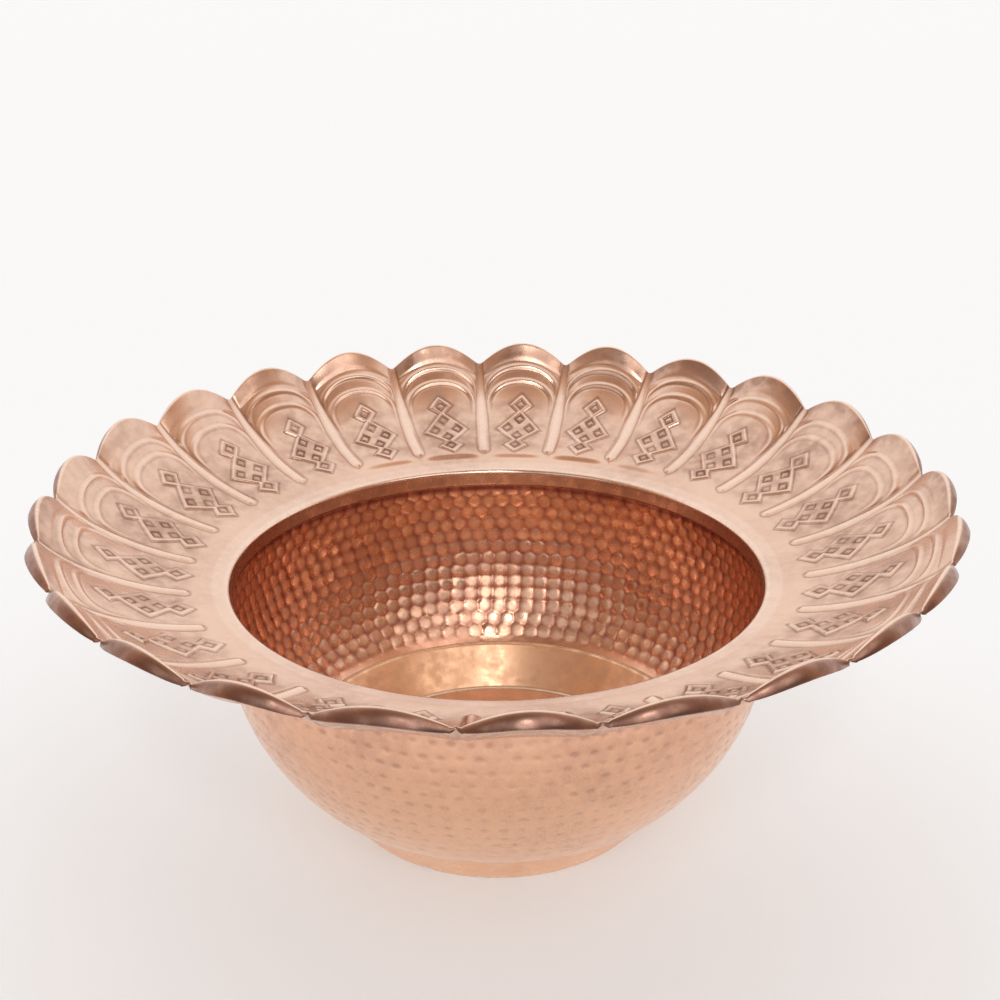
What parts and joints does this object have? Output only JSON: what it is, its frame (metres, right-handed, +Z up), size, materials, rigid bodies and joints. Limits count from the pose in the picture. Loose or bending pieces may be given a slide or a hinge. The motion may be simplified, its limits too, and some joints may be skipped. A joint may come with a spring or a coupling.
{
  "type": "footed bowl",
  "caption": "Round hammered copper bowl with a wide upturned rim of embossed petals, a rolled mouth edge and a plain conical foot ring.",
  "frame": {"origin": "on the bowl's axis, in the plane of the foot ring's lower edge, which stands on the table", "axes": "+Z up along the bowl's axis, towards the mouth; -Y is the side that faces a viewer in front"},
  "size_m": [0.4229, 0.4234, 0.1721],
  "materials": {
    "rim_copper": "polished copper sheet, embossed and lightly tarnished in the grooves",
    "bowl_copper": "hammered copper sheet, bright on the high spots",
    "foot_copper": "smooth satin copper sheet",
    "floor_copper": "smooth satin copper sheet",
    "braze": "brazing metal, filed smooth"
  },
  "bodies": {
    "root": {"rim": "rim_copper", "bowl": "bowl_copper", "foot_ring": "foot_copper", "floor_disc": "floor_copper", "rim_braze": "braze", "foot_braze": "braze", "floor_braze": "braze"}
  },
  "joints": []
}
